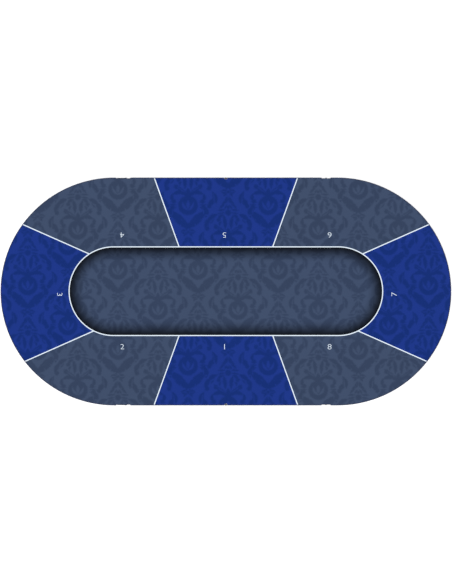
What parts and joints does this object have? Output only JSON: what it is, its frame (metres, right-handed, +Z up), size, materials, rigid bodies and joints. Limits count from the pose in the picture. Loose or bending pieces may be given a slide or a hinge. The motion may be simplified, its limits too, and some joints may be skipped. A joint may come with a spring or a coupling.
{
  "type": "folding poker table top",
  "caption": "Folding card table top with rounded ends: printed cloth over foam on hinged plywood leaves, with rubber feet, lock bolts, closing hooks and carry handles.",
  "frame": {"origin": "centre of the open top's footprint, on the surface under the feet", "axes": "+X along the length, from the left leaf to the right leaf; +Y from the front side, where the handles are, to the back side; +Z up out of the playing surface"},
  "size_m": [1.7998, 0.91, 0.0324],
  "materials": {
    "plywood": "satin",
    "foam": "matte",
    "playing_cloth": "matte",
    "edge_trim": "satin",
    "lining": "matte",
    "rubber": "matte",
    "zinc_steel": "satin",
    "black_steel": "satin",
    "screw_steel": "satin",
    "grip_rubber": "matte"
  },
  "bodies": {
    "left_leaf": {"left_board": "plywood", "left_foam": "foam", "left_cloth": "playing_cloth", "left_edge_trim": "edge_trim", "left_lining": "lining", "left_feet": "rubber", "left_foot_screws": "screw_steel", "left_hinge_plates": "black_steel", "left_hinge_screws": "black_steel", "hinge_pins": "black_steel", "bolt_bases": "zinc_steel", "bolt_base_screws": "screw_steel", "left_handle_brackets": "zinc_steel", "left_bracket_screws": "screw_steel", "hook_plates": "black_steel", "hook_plate_screws": "black_steel"},
    "right_leaf": {"right_board": "plywood", "right_foam": "foam", "right_cloth": "playing_cloth", "right_edge_trim": "edge_trim", "right_lining": "lining", "right_feet": "rubber", "right_foot_screws": "screw_steel", "right_hinge_plates": "black_steel", "right_hinge_screws": "black_steel", "bolt_keepers": "zinc_steel", "bolt_keeper_screws": "screw_steel", "right_handle_brackets": "zinc_steel", "right_bracket_screws": "screw_steel", "catch_studs": "black_steel", "catch_stud_screws": "black_steel"},
    "front_bolt": {"front_bolt": "zinc_steel"},
    "back_bolt": {"back_bolt": "zinc_steel"},
    "left_handle": {"left_handle_rod": "zinc_steel", "left_handle_grip": "grip_rubber"},
    "right_handle": {"right_handle_rod": "zinc_steel", "right_handle_grip": "grip_rubber"},
    "front_hook": {"front_hook": "black_steel"},
    "back_hook": {"back_hook": "black_steel"}
  },
  "joints": [
    {"name": "fold", "type": "hinge", "parent": "left_leaf", "child": "right_leaf", "pos_m": [0, 0, 0.0284], "axis": [0, -1, 0], "range_deg": [0, 180]},
    {"name": "front_bolt_slide", "type": "slide", "parent": "left_leaf", "child": "front_bolt", "axis": [1, 0, 0], "range_m": [0, 0.022]},
    {"name": "back_bolt_slide", "type": "slide", "parent": "left_leaf", "child": "back_bolt", "axis": [1, 0, 0], "range_m": [0, 0.022]},
    {"name": "left_handle_swing", "type": "hinge", "parent": "left_leaf", "child": "left_handle", "pos_m": [-0.408, -0.43, 0.0056], "axis": [-1, 0, 0], "range_deg": [0, 180]},
    {"name": "right_handle_swing", "type": "hinge", "parent": "right_leaf", "child": "right_handle", "pos_m": [0.408, -0.43, 0.0056], "axis": [-1, 0, 0], "range_deg": [0, 180]},
    {"name": "front_hook_swing", "type": "hinge", "parent": "left_leaf", "child": "front_hook", "pos_m": [-0.4, -0.4532, 0.0166], "axis": [0, 1, 0], "range_deg": [0, 90]},
    {"name": "back_hook_swing", "type": "hinge", "parent": "left_leaf", "child": "back_hook", "pos_m": [-0.4, 0.4532, 0.0166], "axis": [0, 1, 0], "range_deg": [0, 90]}
  ]
}
